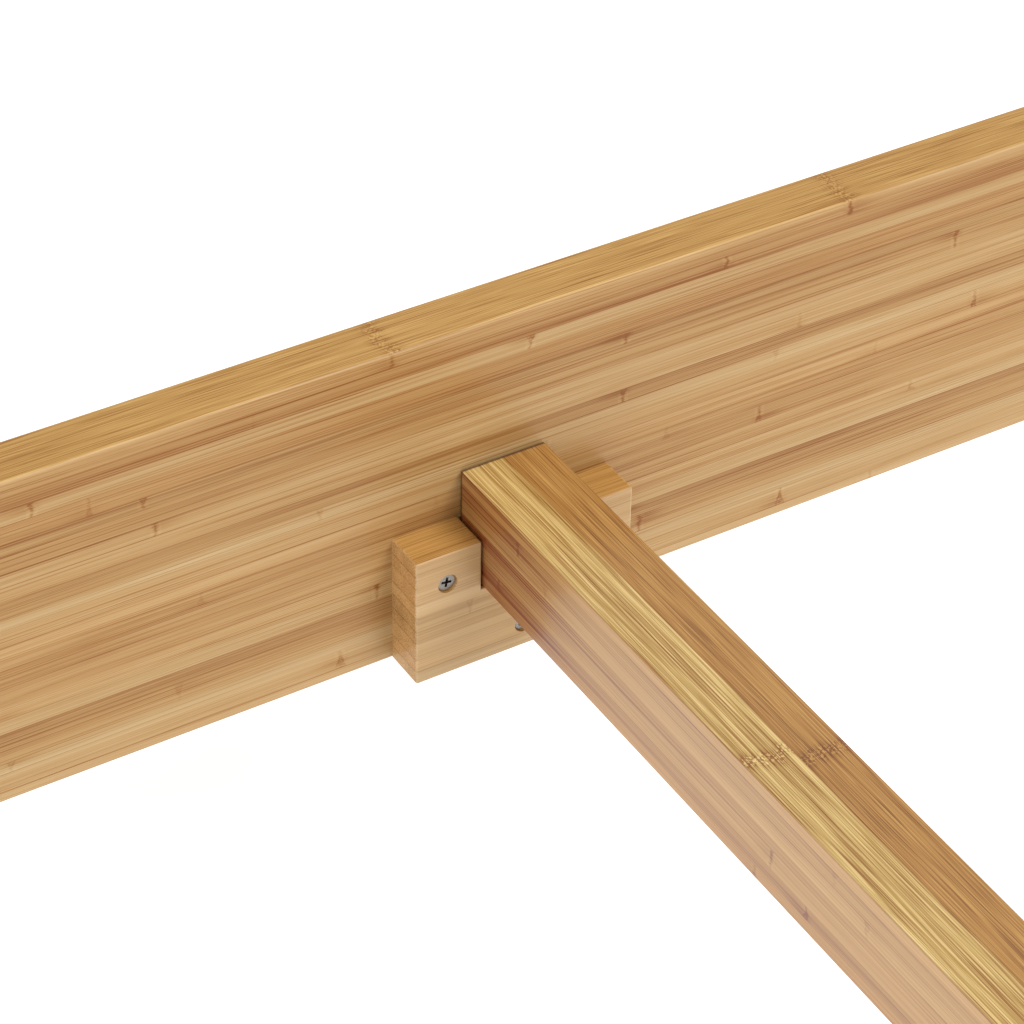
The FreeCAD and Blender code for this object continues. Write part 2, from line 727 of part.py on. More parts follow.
# ---- assembly -------------------------------------------------------------------------------------------

def build():
    """Make every node of the bed."""
    screw = make_wood_screw()
    bolt = make_connector_bolt()
    nut = make_insert("insert_nut", "dims.insert_outside", f"dims.bolt_shank + {FIT}", "dims.insert_length")
    wide_nut = make_insert("wide_insert_nut", "dims.wide_insert_outside",
                           f"dims.hanger_width + {FIT}", "dims.wide_insert_length")
    dowel = make_pin("dowel", "dims.dowel_width",
                     "(dims.dowel_in_end_rail + dims.dowel_in_side_rail)", "dims.dowel_chamfer")
    nail = make_pin("nail", "dims.nail_width", "dims.nail_length", "dims.nail_width / 4")
    hanger = make_pin("hanger_bolt", "dims.hanger_width",
                      "(dims.hanger_in_leg + dims.hanger_in_beam)", "dims.stem_chamfer")
    for name, degrees in ENDS.items():
        make_end_rail(f"end_rail_{name}", degrees)
        make_cradle(f"beam_cradle_{name}", degrees)
        cradle_screws(screw, f"cradle_screws_{name}", degrees)
    for name, degrees in SIDES.items():
        make_side_rail(f"side_rail_{name}", degrees)
        make_ledge(f"slat_ledge_{name}", degrees)
        ledge_screws(screw, f"ledge_screws_{name}", degrees)
    for name, (side, end) in CORNERS.items():
        make_corner_leg(f"corner_leg_{name}", side, end)
        make_glide(f"glide_{name}", side, end)
        corner_bolts(bolt, f"corner_bolts_{name}", side, end)
        corner_inserts(nut, f"corner_inserts_{name}", side, end)
        corner_dowels(dowel, f"corner_dowels_{name}", side, end)
    glide_nails(nail, "glide_nails")
    make_centre_beam()
    for name, end in (("front", -1), ("rear", 1)):
        make_centre_leg(f"centre_leg_{name}", end)
        centre_leg_fasteners((hanger, wide_nut), name, end)
        make_foot_stem(f"foot_stem_{name}", end)
        make_foot_pad(f"foot_pad_{name}", end)
    doc.recompute()


def check():
    """Stop if any object failed or any node has no sound solid."""
    for item in doc.Objects:
        if "Invalid" in item.State or "Error" in item.State:
            raise RuntimeError(f"{item.Label} failed: {item.State}")
    for node in nodes:
        if node.Shape.isNull() or not node.Shape.isValid() or not node.Shape.Solids:
            raise RuntimeError(f"{node.Label} has no valid solid")


def write():
    """Write each node's shape to its own STEP file."""
    os.makedirs("parts", exist_ok=True)
    for node in nodes:
        node.Shape.exportStep(os.path.join("parts", f"{node.Label}.step"))
        box = node.Shape.BoundBox
        print(f"{node.Label}: {len(node.Shape.Solids)} solids, {node.Shape.Volume / 1000:.1f} cm3, "
              f"Z {box.ZMin:.1f} to {box.ZMax:.1f}")


build()
check()
write()
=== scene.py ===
import json
import math

import bmesh
import bpy
from mathutils import Matrix, Vector


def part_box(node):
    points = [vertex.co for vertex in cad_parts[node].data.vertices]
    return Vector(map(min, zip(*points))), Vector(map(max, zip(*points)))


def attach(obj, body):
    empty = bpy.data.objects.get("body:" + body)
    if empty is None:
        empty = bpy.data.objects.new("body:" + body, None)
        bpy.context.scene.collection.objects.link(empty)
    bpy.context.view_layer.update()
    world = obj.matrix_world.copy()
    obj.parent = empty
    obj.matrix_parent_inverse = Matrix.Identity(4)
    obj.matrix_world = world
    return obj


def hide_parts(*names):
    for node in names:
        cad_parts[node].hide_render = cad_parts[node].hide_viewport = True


# Looks of the bamboo bed frame. Everything is in metres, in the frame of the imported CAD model.

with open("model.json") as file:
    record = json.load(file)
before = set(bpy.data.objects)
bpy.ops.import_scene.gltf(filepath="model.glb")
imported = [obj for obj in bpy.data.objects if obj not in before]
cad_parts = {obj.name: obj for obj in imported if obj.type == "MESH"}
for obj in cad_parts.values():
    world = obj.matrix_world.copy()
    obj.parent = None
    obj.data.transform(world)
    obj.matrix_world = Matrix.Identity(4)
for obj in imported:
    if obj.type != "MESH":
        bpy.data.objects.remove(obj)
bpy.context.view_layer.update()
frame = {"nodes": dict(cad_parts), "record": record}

MM = 0.001

# The camera looks down at the joint of the centre beam and the rear end rail.
CAMERA_AZIMUTH = math.radians(31.62)
CAMERA_ELEVATION = math.radians(37.97)
CAMERA_ROLL = math.radians(0.97)
CAMERA_LENS = 126.2
CAMERA_DISTANCE = 1.440
SENSOR_WIDTH = 36.0
AIM_LEFT_OF_BEAM = 0.0160
AIM_BEFORE_RAIL = 0.0348

# Laminated bamboo. The outer layers count as a little thicker than they are, by OUTSIDE, so that no
# glue line lies on a face. SKIN, GAP_LINE_SHADE_REACH and PAINTED_END_SHADE_REACH are depths below the
# faces and from the ends at which painted shade begins to fade and is gone: in holes and notches, in a
# gap line at a board's end, and near its ends.
LAYER = 7.0 * MM
LAYER_WANDER = 0.4
NODE_SPACING = 0.220
RAIL_TOP_NODE = -0.051
BEAM_NODE_BEFORE_RAIL = 0.208
BEAM_NODE_STEP = -0.008
OUTSIDE = 0.6 * MM
SKIN = (1.2 * MM, 1.8 * MM)
GAP_LINE_SHADE_REACH = (0.8 * MM, 1.6 * MM)
PAINTED_END_SHADE_REACH = (0.02, 0.11)
WOOD_IOR = 1.25
LACQUER_IOR = 1.5
COAT_ROUGHNESS = 0.20
GRAIN_DEPTH = 0.05 * MM

# Rounded edges. The ends of a board are rounded less than its long edges, by END_ROUND_SHARE.
RAIL_ROUND = 2.0 * MM
BEAM_ROUND = 1.0 * MM
END_ROUND_SHARE = 0.35
ROUND_SEGMENTS = 5

# Stage and light.
WHITE = (1.0, 1.0, 1.0)
FLOOR_HALF = 40.0
WALL_HEIGHT = 12.0
FLOOR_PAINT = ((0.82, 0.82, 0.82), (0.85, 0.85, 0.85))
FLOOR_GLOW = 0.46
SKY = 0.64
LIGHT_SIZE = 3.0
KEY_PLACE = (1.9, -1.9, 4.7)
KEY_POWER = 212.0
KEY_COLOUR = (1.0, 0.985, 0.96)
FILL_PLACE = (-4.0, 0.2, 1.7)
FILL_POWER = 46.0

# The levelling feet's stems, M8.
THREAD_CREST = 4.0 * MM
THREAD_ROOT = 3.35 * MM
THREAD_CORE = 3.30 * MM
THREAD_PITCH = 1.25 * MM
ROUND_STEPS = 32
HEXAGON = 6
COLLAR_HEIGHT = 6.0 * MM
COLLAR_GAP = 0.3 * MM
COLLAR_CHAMFER = 0.6 * MM
PIVOT_TAPER = 1.0 * MM

ENDS = ("front", "rear")
SIDES = ("left", "right")
CORNERS = ("front_left", "front_right", "rear_left", "rear_right")


# ---- node trees ---------------------------------------------------------------------------------

class Tree:
    """Short names for the shader nodes that the materials are made of."""

    def __init__(self, name):
        self.material = bpy.data.materials.new(name)
        self.material.use_nodes = True
        self.tree = self.material.node_tree
        self.tree.nodes.clear()
        self.shader = self.add("ShaderNodeBsdfPrincipled")
        output = self.add("ShaderNodeOutputMaterial")
        self.join(self.shader.outputs[0], output.inputs[0])

    def add(self, kind, **settings):
        node = self.tree.nodes.new(kind)
        for key, setting in settings.items():
            setattr(node, key, setting)
        return node

    def join(self, source, target):
        """Link a socket, or set a plain number or colour, on a target socket."""
        if isinstance(source, bpy.types.NodeSocket):
            self.tree.links.new(source, target)
        else:
            target.default_value = source

    def math(self, operation, *values):
        node = self.add("ShaderNodeMath", operation=operation)
        for socket, number in zip(node.inputs, values):
            self.join(number, socket)
        return node.outputs[0]

    def scaled(self, source, factor, offset=0.0):
        return self.math("MULTIPLY_ADD", source, factor, offset)

    def smooth(self, source, low, high):
        """0 below low, 1 above high, and a smooth step between them."""
        node = self.add("ShaderNodeMapRange", interpolation_type="SMOOTHSTEP")
        for socket, number in zip(node.inputs, (source, low, high, 0.0, 1.0)):
            self.join(number, socket)
        return node.outputs[0]

    def vector(self, x, y, z):
        node = self.add("ShaderNodeCombineXYZ")
        for socket, number in zip(node.inputs, (x, y, z)):
            self.join(number, socket)
        return node.outputs[0]

    def parts(self, source):
        node = self.add("ShaderNodeSeparateXYZ")
        self.join(source, node.inputs[0])
        return node.outputs

    def noise(self, vector, scale=1.0, detail=2.0, roughness=0.5):
        node = self.add("ShaderNodeTexNoise")
        self.join(vector, node.inputs["Vector"])
        node.inputs["Scale"].default_value = scale
        node.inputs["Detail"].default_value = detail
        node.inputs["Roughness"].default_value = roughness
        return node.outputs[0]

    def random(self, vector):
        """Three random numbers from 0 to 1 for each whole-numbered vector."""
        node = self.add("ShaderNodeTexWhiteNoise", noise_dimensions="3D")
        self.join(vector, node.inputs["Vector"])
        return self.parts(node.outputs["Color"])

    def ramp(self, source, *stops):
        """A colour ramp; each stop is a place and a colour."""
        node = self.add("ShaderNodeValToRGB")
        elements = node.color_ramp.elements
        while len(elements) < len(stops):
            elements.new(0.5)
        for element, (place, colour) in zip(elements, stops):
            element.position = place
            element.color = (*colour, 1.0)
        self.join(source, node.inputs[0])
        return node.outputs[0]

    def blend(self, factor, first, second, style="MIX"):
        """Mix two colours, each a socket or a plain colour."""
        node = self.add("ShaderNodeMix", data_type="RGBA", blend_type=style)
        self.join(factor, node.inputs[0])
        for colour, socket in zip((first, second), node.inputs[6:8]):
            self.join((*colour, 1.0) if isinstance(colour, tuple) else colour, socket)
        return node.outputs[2]

    def tinted(self, colour, tint):
        return self.blend(1.0, colour, tint, style="MULTIPLY")

    def rest(self, share):
        """What is left of 1 without a share."""
        return self.math("SUBTRACT", 1.0, share)

    def bump(self, height, distance):
        node = self.add("ShaderNodeBump")
        node.inputs["Distance"].default_value = distance
        self.join(height, node.inputs["Height"])
        self.join(node.outputs[0], self.shader.inputs["Normal"])

    def place(self):
        return self.add("ShaderNodeTexCoord").outputs["Object"]

    def facing_axes(self):
        """How far the surface faces along each axis, from 0 to 1."""
        normal = self.parts(self.add("ShaderNodeTexCoord").outputs["Normal"])
        return [self.math("ABSOLUTE", part) for part in normal]


# ---- bamboo -------------------------------------------------------------------------------------

class Bamboo(Tree):
    """Laminated bamboo as a solid material: layers of strips, with fibres, nodes and end grain.

    box is the board's lowest and highest corner. axes names the direction of the fibres, the
    direction that the layers are stacked in, and the direction across the strips of one layer.
    top_nodes is the place of a node along the top layer, and node_step moves it on the next strip.
    """

    def __init__(self, name, box, axes, strips=1, top_nodes=0.0, node_step=0.0, seed=0.0):
        super().__init__(name)
        low, high = box
        self.along, self.stack, self.wide = ("XYZ".index(letter) for letter in axes)
        spot = self.parts(self.place())
        self.run, self.up, self.side = (spot[axis] for axis in (self.along, self.stack, self.wide))
        self.facing = self.facing_axes()
        self.strips = strips
        self.seed = seed
        middle = (low[self.along] + high[self.along]) / 2
        from_middle = self.math("ABSOLUTE", self.scaled(self.run, 1.0, -middle))
        half = (high[self.along] - low[self.along]) / 2
        self.from_end = self.scaled(from_middle, -1.0, half)
        self.recess_shade = self.inside(spot, low, high)
        self.split(low, high)
        self.find_nodes(top_nodes, node_step)
        self.draw_fibres()

    def inside(self, spot, low, high):
        """0 on the board's outer faces and 1 in its holes and notches, where shade is painted on."""
        depths = []
        for place, bottom, top in zip(spot, low, high):
            depths.append(self.scaled(place, 1.0, -bottom))
            depths.append(self.scaled(place, -1.0, top))
        nearest = depths[0]
        for depth in depths[1:]:
            nearest = self.math("MINIMUM", nearest, depth)
        return self.smooth(nearest, *SKIN)

    def split(self, low, high):
        """Find the layer and strip that a point is in, and where it lies in them."""
        self.layers = max(1, round((high[self.stack] - low[self.stack]) / LAYER))
        thickness = (high[self.stack] - low[self.stack] + 2 * OUTSIDE) / self.layers
        width = (high[self.wide] - low[self.wide] + 2 * OUTSIDE) / self.strips
        place = self.scaled(self.up, 1 / thickness, (OUTSIDE - low[self.stack]) / thickness)
        uneven = self.noise(self.vector(self.seed, 0.0, self.scaled(place, 0.8)), detail=0.0)
        place = self.math("ADD", place, self.scaled(uneven, 2 * LAYER_WANDER, -LAYER_WANDER))
        across = self.scaled(self.side, 1 / width, (OUTSIDE - low[self.wide]) / width)
        self.layer = self.math("FLOOR", place)
        self.strip = self.math("FLOOR", across)
        self.tone, self.shift, self.other = self.random(self.vector(self.layer, self.strip, self.seed))
        self.layer_gap = edge_gap(self, place, thickness)
        self.strip_gap = edge_gap(self, across, width)
        # The culm's hard outer wall lies on one side of a layer or on the other.
        depth = self.math("FRACT", place)
        flipped = self.math("GREATER_THAN", self.other, 0.5)
        twice = self.scaled(depth, -2.0, 1.0)
        self.wall = self.math("MULTIPLY_ADD", flipped, twice, depth)

    def find_nodes(self, top_nodes, node_step):
        """Put a node in each internode length of each strip, at a place of the strip's own."""
        is_top = self.math("GREATER_THAN", self.layer, self.layers - 1.5)
        own = self.scaled(self.shift, NODE_SPACING)
        fixed = self.scaled(self.strip, -node_step, NODE_SPACING / 2 - top_nodes)
        change = self.math("SUBTRACT", fixed, own)
        offset = self.math("MULTIPLY_ADD", change, is_top, own)
        turns = self.math("DIVIDE", self.math("ADD", self.run, offset), NODE_SPACING)
        number = self.math("FLOOR", turns)
        self.from_node = self.scaled(self.math("FRACT", turns), NODE_SPACING, -NODE_SPACING / 2)
        chance = self.random(self.vector(self.layer, number, self.seed + 0.5))
        self.node_strength = self.smooth(chance[0], 0.15, 0.85)
        self.node_side = self.scaled(self.math("GREATER_THAN", chance[1], 0.5), 2.0, -1.0)
        self.node_fork = self.scaled(chance[2], 2.6 * MM, -0.4 * MM)
        self.across = self.vector(self.scaled(number, 5.3), self.up, self.side)

    def fibre(self, length, thin, detail=1.0, roughness=0.5):
        """Noise whose grains are about length metres long and thin metres thick."""
        start = self.math("MULTIPLY_ADD", self.tone, 7.0, self.run)
        grain = self.vector(
            self.scaled(start, 1 / length),
            self.math("MULTIPLY_ADD", self.other, 31.0, self.scaled(self.up, 1 / thin)),
            self.scaled(self.side, 1 / thin),
        )
        return self.noise(grain, detail=detail, roughness=roughness)

    def draw_fibres(self):
        self.clouds = self.fibre(0.16, 4.0 * MM, 2.0)
        self.streaks = self.fibre(0.22, 1.1 * MM, 2.0)
        self.lines = self.fibre(0.13, 0.45 * MM, 1.0, 0.7)
        self.dashes = self.fibre(0.040, 0.50 * MM)
        self.dark_lines = self.smooth(self.lines, 0.54, 0.62)
        self.dark_streaks = self.smooth(self.streaks, 0.55, 0.63)
        self.dark_dashes = self.smooth(self.dashes, 0.53, 0.66)
        self.pale_dashes = self.rest(self.smooth(self.dashes, 0.36, 0.46))

    def grain_shade(self, middle, weights):
        """The middle tone with clouds, streaks and lines laid over it by their weights."""
        shade = middle
        for part, weight in zip((self.clouds, self.streaks, self.lines), weights):
            shade = self.math("ADD", shade, self.scaled(part, weight, -0.5 * weight))
        return shade

    def edge_shade(self, contrast):
        """Dark to light on the layers' edges: thin lines, and a tick at a node."""
        middle = self.scaled(self.tone, 0.50 * contrast, 0.61 - 0.25 * contrast)
        shade = self.grain_shade(middle, (0.55 * contrast, 0.20 * contrast, 1.60 * contrast))
        shade = self.math("SUBTRACT", shade, self.scaled(self.dark_streaks, 0.17 * contrast))
        outer = self.smooth(self.wall, 0.2, 1.0)
        dense = self.math("MULTIPLY", self.dark_dashes, self.scaled(outer, 0.16, 0.04))
        shade = self.math("SUBTRACT", shade, self.scaled(dense, contrast))
        shade = self.math("SUBTRACT", shade, self.scaled(self.dark_lines, 0.20 * contrast))
        shade = self.math("SUBTRACT", shade, self.scaled(outer, 0.10 * contrast))
        stretch = self.vector(self.scaled(self.run, 7.0), self.scaled(self.layer, 3.7), self.seed)
        line = self.rest(self.smooth(self.layer_gap, 0.05 * MM, 0.45 * MM))
        line = self.math("MULTIPLY", line, self.smooth(self.noise(stretch), 0.42, 0.66))
        marks = self.math("ADD", self.scaled(line, 0.60), self.tick())
        return self.math("SUBTRACT", shade, self.scaled(marks, contrast))

    def tick(self):
        """How much a node darkens a layer's edge: a kinked line, shreds, and dark fibres beside it."""
        kink = self.scaled(self.noise(self.across, scale=400.0, detail=3.0), 3.6 * MM, -1.8 * MM)
        spread = self.math("MULTIPLY", self.smooth(self.wall, 0.35, 1.0), self.node_fork)
        gap = self.math("ABSOLUTE", self.math("ADD", self.from_node, kink))
        fork = self.math("ABSOLUTE", self.math("SUBTRACT", gap, spread))
        line = self.rest(self.smooth(fork, 0.2 * MM, 0.8 * MM))
        frayed = self.smooth(self.noise(self.place(), scale=700.0, detail=2.0), 0.32, 0.55)
        line = self.math("MULTIPLY", line, frayed)
        shreds = self.smooth(self.fibre(5.0 * MM, 0.35 * MM), 0.42, 0.58)
        shreds = self.math("MULTIPLY", shreds, self.rest(self.smooth(gap, 0.5 * MM, 2.8 * MM)))
        shreds = self.math("MULTIPLY", shreds, self.scaled(self.smooth(self.wall, 0.2, 0.9), 0.7, 0.3))
        from_rim = self.math("ABSOLUTE", self.scaled(gap, 1.0, -1.6 * MM))
        pale = self.rest(self.smooth(from_rim, 0.3 * MM, 1.2 * MM))
        beside = self.math("MULTIPLY", self.from_node, self.node_side)
        near = self.smooth(beside, -5.0 * MM, 0.5 * MM)
        tail = self.rest(self.smooth(beside, 1.0 * MM, 18.0 * MM))
        tuft = self.math("MULTIPLY", self.math("MULTIPLY", near, tail), self.smooth(self.wall, 0.1, 0.8))
        tuft = self.math("MULTIPLY", tuft, self.scaled(self.dark_lines, 0.45, 0.14))
        mark = self.math("MULTIPLY_ADD", line, 0.26, tuft)
        mark = self.math("MULTIPLY_ADD", shreds, 0.38, mark)
        mark = self.math("SUBTRACT", mark, self.scaled(pale, 0.10))
        return self.math("MULTIPLY", mark, self.node_strength)

    def face_shade(self, contrast):
        """Dark to light on the broad faces: dense straight lines, and a speckled band at a node."""
        shade = self.grain_shade(0.62, (0.18 * contrast, 0.18 * contrast, 1.50 * contrast))
        shade = self.math("SUBTRACT", shade, self.scaled(self.dark_lines, 0.20 * contrast))
        shade = self.math("SUBTRACT", shade, self.scaled(self.dark_dashes, 0.26 * contrast))
        shade = self.math("ADD", shade, self.scaled(self.pale_dashes, 0.20 * contrast))
        seam = self.rest(self.smooth(self.strip_gap, 0.0, 0.35 * MM))
        shade = self.math("SUBTRACT", shade, self.scaled(seam, 0.3))
        jagged = self.noise(self.across, scale=220.0, detail=4.0, roughness=0.7)
        jagged = self.scaled(jagged, 16.0 * MM, -8.0 * MM)
        gap = self.math("ABSOLUTE", self.math("ADD", self.from_node, jagged))
        self.band = self.rest(self.smooth(gap, 1.8 * MM, 3.8 * MM))
        rim = self.rest(self.smooth(gap, 2.0 * MM, 7.0 * MM))
        spots = self.noise(self.place(), scale=900.0, detail=3.0, roughness=0.7)
        speckle = self.scaled(self.smooth(spots, 0.40, 0.60), 0.70, -0.34)
        shade = self.math("ADD", shade, self.math("MULTIPLY", self.band, speckle))
        dense = self.math("MULTIPLY", rim, self.scaled(self.dark_dashes, 0.34, 0.12))
        return self.math("SUBTRACT", shade, dense)

    def end_shade(self):
        """Dark to light on end grain: small round bundles, and thin lines of glue between the layers."""
        section = self.vector(self.layer, self.up, self.side)
        dots = self.noise(section, scale=1500.0, detail=2.0, roughness=0.6)
        patches = self.noise(section, scale=160.0)
        shade = self.math("ADD", self.scaled(dots, 1.5, -0.3), self.scaled(patches, 0.5, -0.25))
        shade = self.math("ADD", shade, self.scaled(self.tone, 0.24, -0.08))
        glue = self.rest(self.smooth(self.layer_gap, 0.1 * MM, 0.6 * MM))
        return self.math("SUBTRACT", shade, self.scaled(glue, 0.22))

    def finish(self, edges, faces, contrast=0.75, face_contrast=1.0, gloss=0.15, painted_end_shade=0.0):
        """Mix the colours: edges has one dark, middle and light colour, faces has them per strip.

        soaked sets how dark the painted shade is near the board's ends, where the parts they meet shade
        them.
        """
        # Painted shade: streaks darken the wood near the board's ends, where the parts they meet shade
        # it.
        fade = self.rest(self.smooth(self.from_end, *PAINTED_END_SHADE_REACH))
        end_shade_streaks = self.math("MULTIPLY", fade, self.scaled(self.dark_streaks, 1.1 * painted_end_shade, 0.7 * painted_end_shade))
        colour = self.palette(self.math("SUBTRACT", self.edge_shade(contrast), end_shade_streaks), edges)
        is_broad = self.smooth(self.facing[self.stack], 0.45, 0.9)
        colour = self.blend(is_broad, colour, self.face_colour(faces, face_contrast))
        is_end = self.smooth(self.facing[self.along], 0.6, 0.9)
        colour = self.blend(is_end, colour, self.palette(self.end_shade(), END_GRAIN))
        colour = self.tinted(colour, self.blend(self.other, WHITE, WARM_STRIP))
        # Painted highlight: the rounded edges are tinted paler.
        colour = self.blend(self.arris_highlight(), colour, self.tinted(colour, PAINTED_EDGE_HIGHLIGHT))
        # Painted shade: holes, notches and the gap line at a shaded end go nearly black.
        colour = self.blend(self.shade_in_gaps(is_end, painted_end_shade), colour, PAINTED_GAP_SHADE)
        self.join(colour, self.shader.inputs["Base Color"])
        self.lacquer(gloss)
        return self.material

    def palette(self, shade, colours):
        """Turn a shade from 0 to 1 into a dark, a middle or a light colour."""
        return self.ramp(shade, *zip((0.0, 0.5, 1.0), colours))

    def face_colour(self, faces, contrast):
        """The broad faces' colour, with a palette of its own for the second strip."""
        shade = self.face_shade(contrast)
        colour = self.palette(shade, faces[0])
        if self.strips > 1:
            is_second = self.math("MINIMUM", self.strip, 1.0)
            colour = self.blend(is_second, colour, self.palette(shade, faces[1]))
        return colour

    def shade_in_gaps(self, is_end, painted_end_shade):
        """Painted shade: dark in holes and notches, and a dark gap line along the rim of a shaded end.
        """
        gap_line_shade = self.rest(self.smooth(self.from_end, *GAP_LINE_SHADE_REACH))
        gap_line_shade = self.math("MULTIPLY", gap_line_shade, self.scaled(is_end, -0.6, 1.0))
        return self.math("MAXIMUM", self.scaled(self.recess_shade, 0.7), self.scaled(gap_line_shade, 2.0 * painted_end_shade))

    def arris_highlight(self):
        """1 on the rounded edges, where a paler tint is painted on as a highlight."""
        squarest = self.math("MAXIMUM", self.facing[0], self.facing[1])
        squarest = self.math("MAXIMUM", squarest, self.facing[2])
        return self.rest(self.smooth(squarest, 0.88, 0.99))

    def lacquer(self, gloss):
        """Satin lacquer over the sanded grain; gloss is its share from none to a full coat."""
        self.join(self.scaled(self.streaks, 0.16, 0.40), self.shader.inputs["Roughness"])
        self.shader.inputs["IOR"].default_value = WOOD_IOR + (LACQUER_IOR - WOOD_IOR) * gloss
        self.shader.inputs["Coat Weight"].default_value = gloss
        self.shader.inputs["Coat Roughness"].default_value = COAT_ROUGHNESS
        self.shader.inputs["Coat IOR"].default_value = LACQUER_IOR
        relief = self.math("ADD", self.scaled(self.lines, 0.6), self.scaled(self.streaks, 0.5))
        relief = self.math("ADD", relief, self.math("MULTIPLY", self.band, self.facing[self.stack]))
        self.bump(relief, GRAIN_DEPTH)


def edge_gap(tree, place, size):
    """Distance in metres to the nearer edge of the strip or layer that a point is in."""
    share = tree.math("FRACT", place)
    return tree.scaled(tree.math("MINIMUM", share, tree.rest(share)), size)


def mixed(colour, factor):
    """A colour made darker or lighter by a factor."""
    return tuple(channel * factor for channel in colour)


# Wood colours: dark, middle and light. The last three are a painted shade for holes, notches and gap
# lines, and two tints: one for the strips and a painted highlight for the rounded edges.
RAIL_EDGE = ((0.22, 0.075, 0.013), (0.385, 0.230, 0.086), (0.51, 0.378, 0.200))
RAIL_FACE = ((0.24, 0.095, 0.018), (0.410, 0.232, 0.063), (0.54, 0.342, 0.117))
STRAW_FACE = ((0.21, 0.066, 0.008), (0.415, 0.268, 0.076), (0.72, 0.555, 0.245))
BROWN_FACE = ((0.16, 0.055, 0.011), (0.345, 0.170, 0.038), (0.50, 0.300, 0.092))
BEAM_EDGE = ((0.17, 0.029, 0.004), (0.428, 0.240, 0.078), (0.62, 0.390, 0.162))
BLOCK_EDGE = ((0.20, 0.100, 0.030), (0.440, 0.295, 0.140), (0.61, 0.465, 0.280))
BLOCK_FACE = ((0.22, 0.092, 0.018), (0.450, 0.245, 0.068), (0.57, 0.355, 0.125))
END_GRAIN = ((0.19, 0.092, 0.026), (0.480, 0.285, 0.110), (0.68, 0.455, 0.220))
PAINTED_GAP_SHADE = (0.050, 0.020, 0.009)
WARM_STRIP = (1.03, 0.965, 0.90)
PAINTED_EDGE_HIGHLIGHT = (1.06, 1.13, 1.32)


# ---- metal and plastic ----------------------------------------------------------------------------

def steel(name, colour, roughness):
    """Zinc-plated steel with fine scratches and cloudy patches."""
    tree = Tree(name)
    place = tree.place()
    patches = tree.noise(place, scale=900.0, detail=4.0, roughness=0.65)
    scratches = tree.noise(place, scale=5200.0, detail=2.0)
    cloudy = tree.ramp(patches, (0.3, mixed(colour, 0.72)), (0.7, colour))
    tree.join(cloudy, tree.shader.inputs["Base Color"])
    tree.shader.inputs["Metallic"].default_value = 1.0
    tree.join(tree.scaled(patches, 0.25, roughness - 0.12), tree.shader.inputs["Roughness"])
    tree.bump(scratches, 0.02 * MM)
    return tree.material


def plastic(name, colour, roughness):
    """Moulded plastic with a fine spark-eroded grain."""
    tree = Tree(name)
    place = tree.place()
    grain = tree.noise(place, scale=2600.0, detail=2.0)
    wear = tree.noise(place, scale=140.0, detail=3.0)
    worn = tree.ramp(wear, (0.3, colour), (0.8, mixed(colour, 1.5)))
    tree.join(worn, tree.shader.inputs["Base Color"])
    tree.join(tree.scaled(wear, 0.2, roughness - 0.1), tree.shader.inputs["Roughness"])
    tree.bump(grain, 0.05 * MM)
    return tree.material


# ---- meshes ---------------------------------------------------------------------------------------

def new_piece(name, form, body, node, material):
    """Turn a bmesh into a piece that rides on a body and stands for a CAD node."""
    bmesh.ops.recalc_face_normals(form, faces=form.faces)
    mesh = bpy.data.meshes.new(name)
    form.to_mesh(mesh)
    form.free()
    mesh.materials.append(material)
    piece = bpy.data.objects.new(name, mesh)
    bpy.context.scene.collection.objects.link(piece)
    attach(piece, body)
    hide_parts(node)
    return piece


def board(name, node, radius, body, material):
    """A straight board in a CAD node's box, its long edges rounded as a router leaves them."""
    low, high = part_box(node)
    size = high - low
    form = bmesh.new()
    bmesh.ops.create_cube(form, size=1.0)
    placing = Matrix.Translation((low + high) / 2) @ Matrix.Diagonal((*size, 1))
    bmesh.ops.transform(form, matrix=placing, verts=form.verts)
    longest = max(range(3), key=lambda axis: size[axis])
    weight = form.edges.layers.float.new("bevel_weight_edge")
    for edge in form.edges:
        direction = (edge.verts[1].co - edge.verts[0].co).normalized()
        edge[weight] = 1.0 if abs(direction[longest]) > 0.9 else END_ROUND_SHARE
    piece = new_piece(name, form, body, node, material)
    for face in piece.data.polygons:
        face.use_smooth = True
    rounding = piece.modifiers.new("rounding", "BEVEL")
    rounding.width = radius
    rounding.segments = ROUND_SEGMENTS
    rounding.limit_method = "WEIGHT"
    rounding.harden_normals = True


def point(form, centre, radius, angle, height):
    """A new point on a level circle about a centre."""
    x = centre.x + radius * math.cos(angle)
    y = centre.y + radius * math.sin(angle)
    return form.verts.new((x, y, height))


def ring(form, radius, height, count, centre):
    """A level ring of points."""
    return [point(form, centre, radius, math.tau * number / count, height) for number in range(count)]


def turned_solid(form, rings):
    """Join rings of points into a closed solid with flat ends."""
    for lower, upper in zip(rings, rings[1:]):
        for number in range(len(lower)):
            following = (number + 1) % len(lower)
            form.faces.new((lower[number], lower[following], upper[following], upper[number]))
    form.faces.new(reversed(rings[0]))
    form.faces.new(rings[-1])


